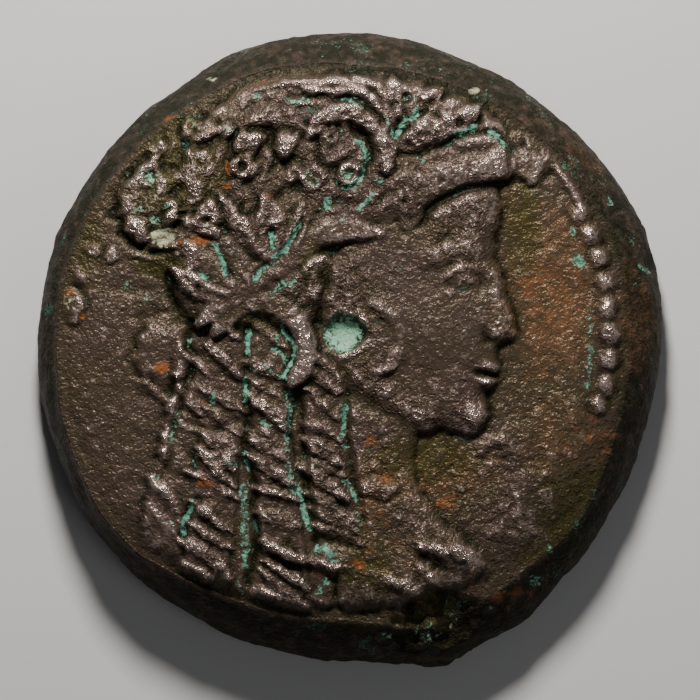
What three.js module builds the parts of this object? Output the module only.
import * as THREE from 'three';

// An old bronze coin, cast thick and struck with a woman's head to the right. It lies on its reverse,
// obverse up. Sizes are millimetres; the figures of the two dies are drawn in hundredths of the
// height of the head, so one size scales the whole striking.

// The flan, the blank that was struck
const FLAN_RADIUS = 14.05;            // mean radius at its widest level
const WIDEST_LEVEL = 1.55;            // height of the widest level above the table
const FACE_LEVEL = 4.15;              // height of the obverse field
const FACE_FALL = 0.28;               // the field drops this much from middle to rim
const FOOT_INSET = 1.0;               // rounding of the lower edge, measured inwards
const MARGIN_WIDTH = 0.9;             // flat ring around the reverse that carries the coin
const REVERSE_FIELD = 0.38;           // the reverse field lies this far above the table

// The striking
const HEAD_HEIGHT = 22.5;             // crown of the hair to the cut of the bust
const UNIT = HEAD_HEIGHT / 100;
const OBVERSE_RELIEF = 0.92;          // height of a full share of relief on the obverse
const REVERSE_RELIEF = 0.50;          // the same on the plainer reverse, worn flat where it meets the table
const DIMPLE_CENTRE = [-1.4, 3.0];    // mark of the lathe point, also the centre of the dotted border
const DIMPLE_RADIUS = 4.1;

// Fineness of the faceted solid
const GRID = 230;                     // places across a face where a corner may be set
const OBVERSE_CORNERS = 2780;
const REVERSE_CORNERS = 1140;
const SEED_STEP = 19;                 // a first coarse spread of corners, one to this many places each way
const EDGE_STEPS = 128;               // facets around the edge

const TURN = Math.PI * 2;
const radians = (degrees) => degrees * Math.PI / 180;
const clamp = (value, low, high) => Math.min(high, Math.max(low, value));

function smooth(from, to, value) {
  const t = clamp((value - from) / (to - from), 0, 1);
  return t * t * (3 - 2 * t);
}

// Bell-shaped swell of an angle's neighbourhood
function swell(angle, centre, width) {
  const gap = Math.abs(((angle - centre) % 360 + 540) % 360 - 180);
  return Math.exp(-((gap / width) ** 2));
}

// Outline of the flan seen from above: out of round, with the stub of the casting channel below
function flanRadius(angle) {
  const degrees = angle * 180 / Math.PI;
  let radius = FLAN_RADIUS;
  radius += 0.10 * Math.cos(angle - radians(155));
  radius += 0.05 * Math.cos(2 * angle + radians(160));
  radius += 0.05 * Math.cos(3 * angle - radians(137));
  radius += 0.08 * Math.cos(4 * angle - radians(88));
  radius += 0.07 * Math.cos(5 * angle - radians(70));
  radius += 0.20 * swell(degrees, 108, 9);
  radius += 0.50 * swell(degrees, 285, 8);
  radius += 0.22 * swell(degrees, 300, 6);
  radius -= 0.16 * swell(degrees, 335, 20);
  return radius;
}

// Width of the bevel between the field and the widest level, from one station to the next
const BEVEL_STATIONS = [[5, 1.65], [50, 1.45], [90, 1.5], [137, 1.15], [182, 1.05], [213, 0.85], [250, 1.75],
  [272, 2.0],
  [298, 1.9], [325, 1.2]];

function bevelWidth(angle) {
  const degrees = ((angle * 180 / Math.PI) % 360 + 360) % 360;
  const count = BEVEL_STATIONS.length;
  for (let i = 0; i < count; i++) {
    const [from, width] = BEVEL_STATIONS[i];
    const [next, nextWidth] = BEVEL_STATIONS[(i + 1) % count];
    const span = (next - from + 360) % 360;
    const way = (degrees - from + 360) % 360;
    if (way < span) {
      return width + (nextWidth - width) * smooth(0, span, way);
    }
  }
  return BEVEL_STATIONS[0][1];
}

// Smooth curve through a few named points
function through(points, closed, steps = 6) {
  const count = points.length;
  const spans = closed ? count : count - 1;
  const curve = [];
  for (let i = 0; i < spans; i++) {
    const at = (k) => points[closed ? (k + count) % count : clamp(k, 0, count - 1)];
    const [a, b, c, d] = [at(i - 1), at(i), at(i + 1), at(i + 2)];
    for (let k = 0; k < steps; k++) {
      const t = k / steps;
      curve.push([0, 1].map((j) => 0.5 * (2 * b[j] + (c[j] - a[j]) * t
        + (2 * a[j] - 5 * b[j] + 4 * c[j] - d[j]) * t * t
        + (3 * b[j] - a[j] - 3 * c[j] + d[j]) * t ** 3)));
    }
  }
  if (!closed) {
    curve.push(points[count - 1]);
  }
  return curve;
}

// One face of the coin: a grid of places inside its rim, then the corners of the rim itself, each with the
// height of the relief there. The places sit in a unit circle that is drawn out to the rim.
class Face {
  constructor(radiusAt, sign) {
    const count = GRID * GRID + EDGE_STEPS;
    for (const name of ['across', 'up', 'share', 'x', 'y', 'height']) {
      this[name] = new Float64Array(count);
    }
    for (let i = 0; i < count; i++) {
      if (i < GRID * GRID) {
        // each place is nudged off the grid a little, which keeps four of them from sharing a circle
        this.across[i] = (2 * (i % GRID) + 1 + 0.2 * Math.sin(12.9 * i)) / GRID - 1;
        this.up[i] = (2 * Math.floor(i / GRID) + 1 + 0.2 * Math.sin(78.2 * i)) / GRID - 1;
      } else {
        this.across[i] = Math.cos(TURN * (i - GRID * GRID) / EDGE_STEPS);
        this.up[i] = Math.sin(TURN * (i - GRID * GRID) / EDGE_STEPS);
      }
      const radius = radiusAt(Math.atan2(this.up[i], this.across[i])) / UNIT;
      this.share[i] = Math.hypot(this.across[i], this.up[i]);
      this.x[i] = this.across[i] * radius * sign;
      this.y[i] = this.up[i] * radius;
    }
  }

  // Visits the grid points near a curve with their distance, share of its length, side and length
  along(points, reach, visit) {
    const curve = through(points, false);
    const low = [0, 1].map((j) => Math.min(...curve.map((p) => p[j])) - reach);
    const high = [0, 1].map((j) => Math.max(...curve.map((p) => p[j])) + reach);
    const lengths = [0];
    for (let k = 1; k < curve.length; k++) {
      lengths.push(lengths[k - 1] + Math.hypot(curve[k][0] - curve[k - 1][0], curve[k][1] - curve[k - 1][1]));
    }
    const total = lengths[lengths.length - 1];
    for (let i = 0; i < this.x.length; i++) {
      const [x, y] = [this.x[i], this.y[i]];
      if (x < low[0] || x > high[0] || y < low[1] || y > high[1]) {
        continue;
      }
      let best = Infinity;
      let share = 0;
      let side = 1;
      for (let k = 1; k < curve.length; k++) {
        const [ax, ay] = curve[k - 1];
        const [bx, by] = [curve[k][0] - ax, curve[k][1] - ay];
        const t = clamp(((x - ax) * bx + (y - ay) * by) / (bx * bx + by * by), 0, 1);
        const [dx, dy] = [x - ax - t * bx, y - ay - t * by];
        const distance = Math.hypot(dx, dy);
        if (distance < best) {
          best = distance;
          share = (lengths[k - 1] + t * (lengths[k] - lengths[k - 1])) / total;
          side = Math.sign(bx * dy - by * dx);
        }
      }
      if (best < reach) {
        visit(i, best, share, side);
      }
    }
  }

  // A raised area inside a closed outline, its edge rounded over the rise
  area(points, level, rise) {
    const outline = through(points, true);
    const low = [0, 1].map((j) => Math.min(...outline.map((p) => p[j])));
    const high = [0, 1].map((j) => Math.max(...outline.map((p) => p[j])));
    for (let i = 0; i < this.x.length; i++) {
      const [x, y] = [this.x[i], this.y[i]];
      if (x < low[0] || x > high[0] || y < low[1] || y > high[1]) {
        continue;
      }
      let inside = false;
      let best = Infinity;
      for (let k = 0; k < outline.length; k++) {
        const [ax, ay] = outline[k];
        const [ex, ey] = outline[(k + 1) % outline.length];
        if ((ay > y) !== (ey > y) && x < ax + (y - ay) / (ey - ay) * (ex - ax)) {
          inside = !inside;
        }
        const [bx, by] = [ex - ax, ey - ay];
        const t = clamp(((x - ax) * bx + (y - ay) * by) / (bx * bx + by * by), 0, 1);
        best = Math.min(best, Math.hypot(x - ax - t * bx, y - ay - t * by));
      }
      if (inside) {
        const t = clamp(best / rise, 0, 1);
        this.height[i] = Math.max(this.height[i], level * Math.sqrt(1 - (1 - t) ** 2));
      }
    }
  }

  // A soft oval bump, or a hollow where the height is below nothing
  mound(centre, [rx, ry], height, turn = 0, sharp = 2) {
    const [cos, sin] = [Math.cos(radians(turn)), Math.sin(radians(turn))];
    const reach = Math.max(rx, ry);
    for (let i = 0; i < this.x.length; i++) {
      const [dx, dy] = [this.x[i] - centre[0], this.y[i] - centre[1]];
      if (Math.abs(dx) < reach && Math.abs(dy) < reach) {
        const a = (dx * cos + dy * sin) / rx;
        const b = (dy * cos - dx * sin) / ry;
        this.height[i] += height * Math.max(0, 1 - a * a - b * b) ** sharp;
      }
    }
  }

  // A rounded strip laid along a curve and tapered at both ends
  band(points, half, level, crown, ends) {
    this.along(points, half, (i, distance, share) => {
      const taper = Math.sqrt(clamp(Math.min(share, 1 - share) / ends, 0.001, 1));
      const q = distance / (half * taper);
      if (q < 1) {
        const top = (level + crown * Math.sqrt(1 - q * q)) * smooth(1, 0.8, q);
        this.height[i] = Math.max(this.height[i], top);
      }
    });
  }

  // A cut line that fades out at both ends; below nothing it is a raised line
  groove(points, half, depth, ends = 0.25) {
    this.along(points, half, (i, distance, share) => {
      const taper = clamp(Math.min(share, 1 - share) / ends, 0, 1);
      this.height[i] -= depth * taper * (1 - (distance / half) ** 2) ** 1.5;
    });
  }

  // A grain leaf, a bent lens from base to tip with a groove down its middle
  leaf(base, tip, half, level, crown, bend) {
    const way = [tip[0] - base[0], tip[1] - base[1]];
    const middle = [(base[0] + tip[0]) / 2 - bend * way[1], (base[1] + tip[1]) / 2 + bend * way[0]];
    this.along([base, middle, tip], half, (i, distance, share) => {
      const width = half * Math.sin(Math.PI * share ** 0.85) ** 0.7;
      const q = distance / Math.max(width, 0.05);
      if (q < 1) {
        const rib = 0.08 * Math.exp(-((q / 0.25) ** 2)) * Math.sin(Math.PI * share);
        const top = (level + crown * Math.sqrt(1 - q * q) - rib) * smooth(1, 0.8, q);
        this.height[i] = Math.max(this.height[i], top);
      }
    });
  }

  // A long corkscrew lock, a rounded column crossed by its turns on a slant
  lock(points, halfTop, halfEnd, level, turns, slant) {
    this.along(points, Math.max(halfTop, halfEnd), (i, distance, share, side) => {
      const ends = Math.sqrt(clamp(Math.min(share / 0.06, (1 - share) / 0.1), 0.01, 1));
      const q = distance / ((halfTop + (halfEnd - halfTop) * share) * ends);
      if (q < 1) {
        const wave = Math.abs(Math.sin(Math.PI * (turns * share + slant * q * side))) ** 0.8;
        const top = (level + 0.30 * Math.sqrt(1 - q * q) - 0.20 * (1 - wave)) * smooth(1, 0.84, q);
        this.height[i] = Math.max(this.height[i], top);
      }
    });
  }
}

// Outlines of the woman's head: face, neck with the cut of the bust, mass of the hair, roll over the brow
const FACE = [[26.5, 35], [28.3, 30], [28.6, 24.5], [27.9, 19.5], [29.2, 14], [31, 8.6], [32.6, 4.6],
  [32, 2.2], [29.4, 1.1], [28.2, -0.6], [29, -2.8], [28.6, -4.2], [27.3, -4.9], [28.4, -6.2],
  [27.8, -7.9], [26.2, -9.2], [27, -12], [26.2, -15], [22.8, -17.2], [17, -16.2], [12.5, -16.8],
  [0, -10], [-6, 4], [-4, 20], [8, 32]];
const NECK = [[14, -10], [12.8, -18], [12.6, -25], [15, -31], [20.5, -36.5], [25.5, -41], [24.5, -45],
  [14, -49.5], [3, -52], [-3, -50], [-4, -30], [-3, -10]];
const HAIR = [[30.6, 35], [30.8, 39.5], [27, 45], [20, 50], [10, 53.6], [-2, 54.8], [-14, 52],
  [-25, 46], [-33, 37], [-37, 26], [-37, 15], [-33, 7], [-27, 3], [-18, 4], [-9, 3], [-5, 10], [-2, 20],
  [6, 22], [12.6, 22], [16, 27], [23, 31.2]];
const BROW_ROLL = [[10.6, 24.6], [15.4, 26.6], [19.4, 29.6], [24.6, 31.6], [30.4, 33.4], [31.6, 36.6],
  [30.8, 40], [27.6, 41.8], [22.6, 41], [16.6, 39], [8.6, 38.4], [4, 34], [4, 27]];

// Grain leaves of the wreath: base, tip, half width, rise above the hair, bend
const LEAVES = [
  [[-20.8, 9.6], [-35.4, 17.4], 2.5, 0.16, 0.06],
  [[-23.4, 13], [-33, 21.6], 2.3, 0.18, 0.05],
  [[-20.4, 13], [-26.4, 23], 2.2, 0.20, 0.05],
  [[-16.8, 16.6], [-26.6, 29.6], 2.9, 0.24, 0.06],
  [[-15.4, 17.6], [-19.6, 29.6], 2.6, 0.22, -0.02],
  [[-13.6, 18.6], [-9.8, 28], 2.4, 0.20, -0.10],
  [[7, 43], [-10.8, 52], 2.3, 0.18, -0.20],
  [[7.2, 43.6], [-0.4, 54.4], 2.1, 0.18, -0.10],
  [[8.4, 44.4], [8.2, 55], 2.0, 0.18, 0.04],
  [[9.8, 43.6], [18.6, 53.4], 2.2, 0.20, -0.06],
  [[10, 41.8], [26.6, 49.4], 2.7, 0.26, -0.10],
];

// Combed strands swept back over the hair
const STRANDS = [
  [[3, 28], [-7, 28.5], [-15, 27], [-22, 23]],
  [[3, 32.5], [-8, 33.5], [-19, 31.5], [-29, 25]],
  [[4, 37], [-8, 38.2], [-21, 36.6], [-31.6, 29]],
  [[-11, 43], [-21, 41.6], [-29, 36.6]],
  [[-12, 48], [-20, 46], [-27, 41.6]],
];

// Corkscrew locks: line down the middle, half width at top and end, level, turns
const LOCKS = [
  [[[-29.6, 2], [-32.2, -10], [-34.6, -20], [-37, -30], [-39, -39]], 3.8, 4.6, 0.34, 11],
  [[[-25, 4], [-25.4, -10], [-25.6, -20], [-26.2, -30], [-27.4, -43], [-28, -50]], 4.5, 5.6, 0.44, 13],
  [[[-16.4, 4], [-16.2, -10], [-16, -20], [-14.8, -32], [-13, -45], [-12.4, -51]], 4.2, 5.6, 0.46, 13],
  [[[-4.6, -3], [-5.6, -14], [-5.4, -24], [-3.6, -34], [-1.6, -46]], 4.8, 5.2, 0.48, 11],
];
const LOCK_SLANT = -0.6;

// Smooth rolls: headband, tied roll over the locks, curl at the crown, curl in front of the ear
const ROLLS = [
  [[[-31, 4.4], [-23.4, 11], [-12.4, 18.2], [-6.4, 22.8], [0.6, 23.8], [10.6, 21.4]], 2.9, 0.74, 0.14, 0.12],
  [[[-27.6, 2.4], [-24.8, 6.4], [-20.4, 9], [-15.2, 8.6], [-11.2, 5.6], [-9.2, 1], [-9.6, -3.6], [-12.8, -7]],
    2.0, 0.62, 0.26, 0.1],
  [[[-9.6, 41.6], [-5.6, 45.6], [0, 46.8], [4.8, 44.2], [7.4, 39.4], [6.4, 34.2]], 2.0, 0.74, 0.28, 0.14],
  [[[2.6, 9.6], [7.4, 6.6], [9.4, 1.4], [6.4, -4.2]], 1.4, 0.62, 0.20, 0.25],
];

// Deep lines that part the locks and leaves: line, half width, depth
const SEAMS = [
  [[[-20.8, 5], [-20.8, -8], [-20.9, -22], [-20.2, -36], [-20.6, -51]], 1.2, 0.30],
  [[[-13.8, -7], [-11.6, -10], [-11.6, -18], [-10.8, -24], [-10, -28], [-8, -36]], 1.1, 0.26],
  [[[-1.4, -9], [-0.6, -18], [0, -26], [1, -30], [1.8, -35]], 1.1, 0.22],
  [[[-24.8, 14.6], [-24.6, 18], [-26, 22.4]], 1.0, 0.16],
  [[[-14.6, 18.6], [-14.8, 21.6], [-15.2, 26.4]], 1.0, 0.16],
  [[[6.8, 42.6], [2, 47.6], [-4.4, 49.4], [-10.6, 49.4]], 1.0, 0.16],
  [[[9, 42.6], [13, 47.6], [18, 50.2]], 1.0, 0.16],
  [[[8.6, 40.6], [17, 40.9], [24, 44.6]], 1.0, 0.20],
];

// Dotted border, of which the small flan caught only a short run on the right
const BORDER_RADIUS = 52.4;
const BORDER_PITCH = 5.45;
const BORDER_FIRST = -3;
const BORDER_LAST = 5;
const BEAD_RADIUS = 2.1;

function strikeFace(face) {
  face.area(NECK, 0.44, 6);
  face.area(FACE, 0.64, 8);
  // cheek, eye socket, brow
  face.mound([13, 4], [13, 12], 0.20);
  face.mound([22.6, 12.8], [5.6, 4.4], -0.26, 10);
  face.groove([[12.5, 16.2], [17, 18.9], [22, 19.4], [27, 18.2]], 2.6, -0.16);
  // eyeball and lids
  face.mound([21.9, 13.2], [3.3, 2.3], 0.26, 8, 1.2);
  face.groove([[17, 12.6], [19.2, 14.9], [22.2, 16], [25.4, 15]], 1.2, -0.14);
  face.groove([[17.2, 12], [19.8, 10.9], [22.8, 10.8], [24.8, 12.2]], 1.0, -0.09);
  // nose, its wing, lips, chin, jaw
  face.groove([[27.4, 18], [28.6, 12], [30.4, 6.5], [31, 3.4]], 2.4, -0.10, 0.2);
  face.mound([28.4, 2.7], [2.5, 2.2], 0.16);
  face.groove([[25.6, 4.6], [26, 2], [27.6, 1]], 1.0, 0.14);
  face.mound([27.2, -3.3], [3.4, 1.5], 0.17, -8);
  face.mound([26.8, -6.4], [3, 1.6], 0.17, 4);
  face.groove([[22.8, -4.7], [25, -4.7], [28.6, -4.9]], 0.9, 0.18, 0.3);
  face.mound([24.4, -13.4], [4, 3.4], 0.15);
  face.groove([[24, -16], [16, -13.6], [8, -10], [1, -4]], 3.4, -0.08);
}

function strikeObverse(face) {
  strikeFace(face);
  face.area(HAIR, 0.70, 6.5);
  face.area(BROW_ROLL, 0.96, 4);
  for (const strand of STRANDS) {
    face.groove(strand, 1.7, 0.15);
  }
  // ear
  face.mound([-6.2, 13.4], [3.6, 5.6], 0.22, 15, 1.2);
  face.mound([-5.6, 13.6], [1.8, 3.2], -0.20, 15, 1.2);
  for (const [line, halfTop, halfEnd, level, turns] of LOCKS) {
    face.lock(line, halfTop, halfEnd, level, turns, LOCK_SLANT);
  }
  for (const [base, tip, half, rise, bend] of LEAVES) {
    face.leaf(base, tip, half, 0.70, rise, bend);
  }
  for (const [line, half, level, crown, ends] of ROLLS) {
    face.band(line, half, level, crown, ends);
  }
  for (const [line, half, depth] of SEAMS) {
    face.groove(line, half, depth);
  }
  // folds of the dress at the cut of the bust
  face.groove([[12.6, -37], [19, -38.4], [25.6, -39.6]], 2.2, -0.20);
  face.groove([[5.6, -44], [11, -46], [15.6, -49]], 1.6, -0.14);
  // dotted border and the worn line that runs on from it
  for (let k = BORDER_FIRST; k <= BORDER_LAST; k++) {
    const angle = radians(k * BORDER_PITCH);
    const centre = [
      DIMPLE_CENTRE[0] + BORDER_RADIUS * Math.cos(angle),
      DIMPLE_CENTRE[1] + BORDER_RADIUS * Math.sin(angle),
    ];
    face.mound(centre, [BEAD_RADIUS, BEAD_RADIUS], 0.44, 0, 0.8);
  }
  face.groove([[47.6, 25], [44, 33.6], [38, 41.6]], 1.8, -0.34);
  // lump behind the locks, corroded bumps at the upper left, pitted crater by the casting stub
  face.mound([-37.4, -1.4], [5.2, 6.6], 0.34, 0, 1.2);
  face.mound([-38.8, 39.4], [3.2, 3], 0.26);
  face.mound([-42.4, 31], [3.6, 3.4], 0.26);
  face.mound([-43.4, 23.6], [3.8, 3.4], 0.22);
  face.mound([-37.4, 22.4], [3.2, 2.8], 0.20);
  face.mound([-30.4, 43.6], [3, 2.2], 0.24);
  face.mound([15.6, -52.4], [7.6, 5], -0.55, 0, 0.9);
  face.mound([...DIMPLE_CENTRE], [DIMPLE_RADIUS, DIMPLE_RADIUS], -1.0, 0, 0.7);
}

// The eagle of the reverse, standing left: body, head, wing, tail, legs, bolt under its feet
const EAGLE_BODY = [[-12, 16], [-6, 20], [2, 14], [10, 2], [16, -10], [20, -22], [12, -22], [4, -16],
  [-6, -12], [-13, -4], [-16, 6]];
const EAGLE_HEAD = [[-12, 26], [-8, 29], [-3, 27], [-2, 20], [-8, 14], [-13, 18], [-14, 22], [-18, 22.4],
  [-16, 25]];
const EAGLE_TAIL = [[14, -16], [22, -20], [29, -32], [20, -34], [14, -26]];

// Rows of strokes for the legend, on either side of the eagle
const LEGEND_STROKES = 9;
const LEGEND_FIRST = 28;
const LEGEND_PITCH = 12;
const LEGEND_FOOT = 38;
const LEGEND_HEAD = 44;

function strikeReverse(face) {
  face.area(EAGLE_BODY, 1.0, 3);
  face.area(EAGLE_HEAD, 1.0, 2.4);
  face.area(EAGLE_TAIL, 0.9, 2);
  // flight feathers parted by cut lines
  for (let k = 0; k < 4; k++) {
    const step = 3 * k;
    face.groove([[-9 + step, 8 + step * 0.6], [-3 + step, -4], [5 + step, -15 - step * 0.4]], 1.2, 0.7);
  }
  // legs and the bolt with its winged ends
  face.band([[-4, -11], [-6, -18], [-9, -25]], 2.2, 0.6, 0.3, 0.1);
  face.band([[4, -15], [3, -20], [1, -25]], 2.0, 0.6, 0.3, 0.1);
  face.band([[-24, -28], [-8, -28], [12, -28]], 2.6, 0.7, 0.3, 0.1);
  face.band([[-30, -24], [-24, -28], [-30, -32]], 1.6, 0.5, 0.3, 0.2);
  for (let k = 0; k < LEGEND_STROKES; k++) {
    for (const side of [-1, 1]) {
      const angle = radians(90 - side * (LEGEND_FIRST + LEGEND_PITCH * k));
      const lean = radians(k % 2 === 0 ? 2 : -2);
      const from = [LEGEND_FOOT * Math.cos(angle - lean), LEGEND_FOOT * Math.sin(angle - lean)];
      const to = [LEGEND_HEAD * Math.cos(angle + lean), LEGEND_HEAD * Math.sin(angle + lean)];
      face.band([from, to], 1.2, 0.35, 0.3, 0.15);
    }
  }
  // mark of the lathe point
  face.mound([1, 1], [3.6, 3.6], -1.4, 0, 0.7);
}

// Drapes a face with well-shaped triangles: from a plain fan and a coarse spread, corners are added one by
// one where the triangles miss the relief most, with more care in some places than in others
function drape(face, level, corners, care) {
  const circle = (a, b, c) => {
    const [bx, by] = [face.across[b] - face.across[a], face.up[b] - face.up[a]];
    const [cx, cy] = [face.across[c] - face.across[a], face.up[c] - face.up[a]];
    const d = 2 * (bx * cy - by * cx);
    const ux = (cy * (bx * bx + by * by) - by * (cx * cx + cy * cy)) / d;
    const uy = (bx * (cx * cx + cy * cy) - cx * (bx * bx + by * by)) / d;
    const [x, y] = [face.across[a] + ux, face.up[a] + uy];
    return { corners: [a, b, c], x, y, reach: ux * ux + uy * uy, worst: null };
  };

  // the place inside a triangle where its plane is farthest from the relief
  const worstIn = (triangle) => {
    const [a, b, c] = triangle.corners;
    const [ax, ay] = [face.across[a], face.up[a]];
    const [bx, by] = [face.across[b] - ax, face.up[b] - ay];
    const [cx, cy] = [face.across[c] - ax, face.up[c] - ay];
    const span = bx * cy - by * cx;
    const cell = (value) => clamp(Math.floor((value + 1) / 2 * GRID), 0, GRID - 1);
    const [left, right] = [cell(ax + Math.min(0, bx, cx)), cell(ax + Math.max(0, bx, cx))];
    const [low, high] = [cell(ay + Math.min(0, by, cy)), cell(ay + Math.max(0, by, cy))];
    const worst = { place: -1, miss: 0 };
    for (let row = low; row <= high; row++) {
      for (let column = left; column <= right; column++) {
        const i = row * GRID + column;
        const [px, py] = [face.across[i] - ax, face.up[i] - ay];
        const q = (px * cy - py * cx) / span;
        const r = (bx * py - by * px) / span;
        if (q > 0.02 && r > 0.02 && q + r < 0.98 && face.share[i] < 0.98) {
          const flat = level[a] + q * (level[b] - level[a]) + r * (level[c] - level[a]);
          const gap = Math.abs(flat - level[i]) * care(face.x[i], face.y[i]);
          if (gap > worst.miss) {
            worst.place = i;
            worst.miss = gap;
          }
        }
      }
    }
    worst.miss *= span ** 0.25;
    return worst;
  };

  const middle = GRID * Math.floor(GRID / 2) + Math.floor(GRID / 2);
  let triangles = [];
  for (let k = 0; k < EDGE_STEPS; k++) {
    triangles.push(circle(middle, GRID * GRID + k, GRID * GRID + (k + 1) % EDGE_STEPS));
  }
  const insert = (place) => {
    const open = new Map();
    triangles = triangles.filter((triangle) => {
      const [dx, dy] = [face.across[place] - triangle.x, face.up[place] - triangle.y];
      if (dx * dx + dy * dy >= triangle.reach) {
        return true;
      }
      triangle.corners.forEach((from, k) => {
        const to = triangle.corners[(k + 1) % 3];
        if (!open.delete(`${to},${from}`)) {
          open.set(`${from},${to}`, [from, to]);
        }
      });
      return false;
    });
    for (const [from, to] of open.values()) {
      triangles.push(circle(from, to, place));
    }
  };
  let left = corners;
  for (let row = SEED_STEP; row < GRID; row += SEED_STEP) {
    for (let column = SEED_STEP; column < GRID; column += SEED_STEP) {
      const place = row * GRID + column;
      if (face.share[place] < 0.95 && place !== middle) {
        insert(place);
        left -= 1;
      }
    }
  }
  while (left > 0) {
    for (const triangle of triangles) {
      triangle.worst = triangle.worst ?? worstIn(triangle);
    }
    const ranked = triangles.map((triangle) => triangle.worst).filter((worst) => worst.miss > 0);
    ranked.sort((p, q) => q.miss - p.miss);
    const batch = ranked.slice(0, Math.min(left, Math.ceil(triangles.length * 0.12)));
    batch.forEach((worst) => insert(worst.place));
    left -= batch.length;
  }
  return triangles.map((triangle) => triangle.corners);
}

// Collects the corners and triangles of the whole coin
class Solid {
  constructor() {
    this.positions = [];
    this.triangles = [];
  }

  corner(x, y, z) {
    this.positions.push(x, y, z);
    return this.positions.length / 3 - 1;
  }

  // A draped face; gives back the corners of its rim
  face(face, levelAt, corners, upward, care) {
    const level = face.height.map((height, i) => levelAt(height, face.share[i]));
    const sign = upward ? 1 : -1;
    const placed = new Map();
    const cornerOf = (i) => {
      if (!placed.has(i)) {
        placed.set(i, this.corner(face.x[i] * UNIT * sign, face.y[i] * UNIT, level[i]));
      }
      return placed.get(i);
    };
    for (const triangle of drape(face, level, corners, care)) {
      const [a, b, c] = triangle.map(cornerOf);
      this.triangles.push(...(upward ? [a, b, c] : [a, c, b]));
    }
    return Array.from({ length: EDGE_STEPS }, (_, k) => placed.get(GRID * GRID + k));
  }

  ring(radiusAt, level) {
    return Array.from({ length: EDGE_STEPS }, (_, k) => {
      const angle = TURN * k / EDGE_STEPS;
      return this.corner(radiusAt(angle) * Math.cos(angle), radiusAt(angle) * Math.sin(angle), level);
    });
  }

  // Joins an upper ring of corners to the one below it
  join(upper, lower) {
    for (let k = 0; k < EDGE_STEPS; k++) {
      const next = (k + 1) % EDGE_STEPS;
      this.triangles.push(upper[k], lower[k], lower[next], upper[k], lower[next], upper[next]);
    }
  }
}

function buildCoin() {
  // the features of the face are small, so they are followed more closely
  const featureCare = (x, y) => (Math.hypot(x - 23, y - 3) < 20 ? 2.2 : 1);
  const rimRadius = (angle) => flanRadius(angle) - bevelWidth(angle);
  const footRadius = (angle) => flanRadius(angle) - FOOT_INSET;
  const reverseRadius = (angle) => footRadius(angle) - MARGIN_WIDTH;
  const obverse = new Face(rimRadius, 1);
  strikeObverse(obverse);
  const reverse = new Face(reverseRadius, -1);
  strikeReverse(reverse);

  const rimLevel = FACE_LEVEL - FACE_FALL;
  const obverseLevel = (height, share) => FACE_LEVEL - FACE_FALL * share ** 4 + OBVERSE_RELIEF * height;
  const reverseLevel = (height, share) => {
    const field = REVERSE_FIELD * smooth(1, 0.93, share);
    return Math.max(0, field - REVERSE_RELIEF * height);
  };

  const solid = new Solid();
  const rings = [
    solid.face(obverse, obverseLevel, OBVERSE_CORNERS, true, featureCare),
    solid.ring((angle) => rimRadius(angle) + 0.22 * bevelWidth(angle), rimLevel - 0.22),
    solid.ring((angle) => rimRadius(angle) + 0.68 * bevelWidth(angle), rimLevel - 1.15),
    solid.ring(flanRadius, WIDEST_LEVEL),
    solid.ring((angle) => flanRadius(angle) - 0.12, 0.7),
    solid.ring((angle) => flanRadius(angle) - 0.45, 0.2),
    solid.ring(footRadius, 0),
    solid.face(reverse, reverseLevel, REVERSE_CORNERS, false, () => 1),
  ];
  for (let k = 1; k < rings.length; k++) {
    solid.join(rings[k - 1], rings[k]);
  }

  const geometry = new THREE.BufferGeometry();
  geometry.setAttribute('position', new THREE.Float32BufferAttribute(solid.positions, 3));
  geometry.setIndex(solid.triangles);
  geometry.computeBoundingBox();
  const { min, max } = geometry.boundingBox;
  geometry.translate(-(min.x + max.x) / 2, -(min.y + max.y) / 2, -min.z);
  geometry.computeVertexNormals();
  return geometry;
}

const bronze = new THREE.MeshStandardMaterial({
  name: 'bronze', color: 0x5b4638, metalness: 0.7, roughness: 0.5,
});
const coin = new THREE.Mesh(buildCoin(), bronze);
coin.name = 'coin';

const group = new THREE.Group();
group.name = 'ancient_coin';
group.add(coin);

export default group;
